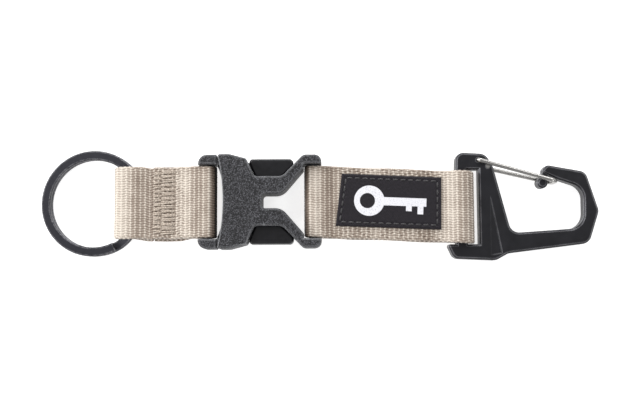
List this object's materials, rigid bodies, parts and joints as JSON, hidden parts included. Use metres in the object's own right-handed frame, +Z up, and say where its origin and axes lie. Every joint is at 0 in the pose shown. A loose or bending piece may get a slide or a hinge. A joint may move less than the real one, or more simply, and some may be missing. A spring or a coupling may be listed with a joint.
{
  "type": "carabiner keyring",
  "caption": "Webbing key strap with a split ring, a side release buckle and a wire gate snap hook.",
  "frame": {"origin": "middle of the bounding box, on the table the strap lies on", "axes": "+X along the strap from the ring to the hook, +Y across it, +Z up out of its face"},
  "size_m": [0.1554, 0.0312, 0.009],
  "materials": {
    "webbing": "woven nylon, slight sheen",
    "thread": "sewing thread",
    "buckle": "fine pebbled",
    "pads": "smooth satin",
    "ring": "dark slate coating on steel",
    "hook": "black satin anodised",
    "gate": "bright stainless wire",
    "label": "close woven, folded edges",
    "label_thread": "sewing thread",
    "print": "raised print"
  },
  "bodies": {
    "socket": {"female_buckle": "buckle"},
    "plug": {"male_buckle": "buckle"},
    "latch_upper": {"latch_arm_upper": "pads"},
    "latch_lower": {"latch_arm_lower": "pads"},
    "short_strap": {"short_strap": "webbing", "tack_needle_thread": "thread", "tack_bobbin_thread": "thread"},
    "ring_loop": {"ring_loop": "webbing"},
    "ring": {"split_ring": "ring"},
    "long_strap": {"long_strap": "webbing", "label_patch": "label", "label_mark": "print", "label_needle_thread": "label_thread", "label_bobbin_thread": "label_thread"},
    "hook": {"carabiner_body": "hook"},
    "gate": {"wire_gate": "gate"}
  },
  "joints": [
    {"name": "buckle_release", "type": "slide", "parent": "socket", "child": "plug", "axis": [-1, 0, 0], "range_m": [0, 0.03], "deforming": ["latch_arm_upper", "latch_arm_lower"]},
    {"name": "latch_squeeze_upper", "type": "hinge", "parent": "plug", "child": "latch_upper", "pos_m": [-0.02694, 0.01068, 0.0045], "axis": [0, 0, -1], "range_deg": [0, 7.5], "stiffness_Nm_per_rad": 0.02},
    {"name": "latch_squeeze_lower", "type": "hinge", "parent": "plug", "child": "latch_lower", "pos_m": [-0.02694, -0.00902, 0.0045], "axis": [0, 0, 1], "range_deg": [0, 7.5], "stiffness_Nm_per_rad": 0.02},
    {"name": "short_strap_swing", "type": "hinge", "parent": "plug", "child": "short_strap", "pos_m": [-0.03099, 0.00083, 0.0045], "axis": [0, 1, 0], "range_deg": [-90, 90]},
    {"name": "ring_loop_fold", "type": "hinge", "parent": "short_strap", "child": "ring_loop", "pos_m": [-0.04699, 0.00083, 0.00344], "axis": [0, 1, 0], "range_deg": [-44, 44]},
    {"name": "ring_spin", "type": "hinge", "parent": "ring_loop", "child": "ring", "pos_m": [-0.0629, 0.00083, 0.00239], "axis": [-0.0661, 0, 0.9978], "continuous": true},
    {"name": "long_strap_swing", "type": "hinge", "parent": "socket", "child": "long_strap", "pos_m": [-0.00139, 0.00083, 0.0045], "axis": [0, 1, 0], "range_deg": [-90, 90]},
    {"name": "hook_swing", "type": "hinge", "parent": "long_strap", "child": "hook", "pos_m": [0.0395, -0.00081, 0.00378], "axis": [0, 1, 0], "range_deg": [-100, 100]},
    {"name": "gate_open", "type": "hinge", "parent": "hook", "child": "gate", "pos_m": [0.0456, 0.01139, 0.00363], "axis": [-0.0255, 0, -0.9997], "range_deg": [0, 22], "stiffness_Nm_per_rad": 0.02, "deforming": ["wire_gate"]}
  ]
}
